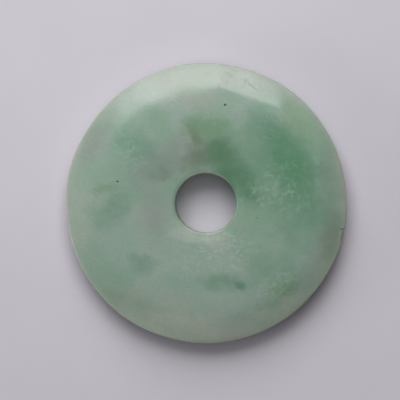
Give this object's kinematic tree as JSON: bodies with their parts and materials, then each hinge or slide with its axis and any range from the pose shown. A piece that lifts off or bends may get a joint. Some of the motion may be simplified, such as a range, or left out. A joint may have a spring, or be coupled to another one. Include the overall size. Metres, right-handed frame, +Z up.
{
  "type": "jade bi disc",
  "caption": "Small polished jade ring disc with a round central hole, gently domed faces, a broad bevel and a narrow rim, worn on a cord or kept as an amulet.",
  "frame": {"origin": "centre of the underside, on the surface the disc lies on", "axes": "+Z up through the hole, across the disc's thickness; +X and +Y across the disc, with the small rim chip 13 degrees from +X towards -Y"},
  "size_m": [0.0498, 0.0502, 0.006],
  "materials": {
    "jade": "polished mottled green and white jade, slightly translucent"
  },
  "bodies": {
    "root": {"jade_disc": "jade"}
  },
  "joints": []
}
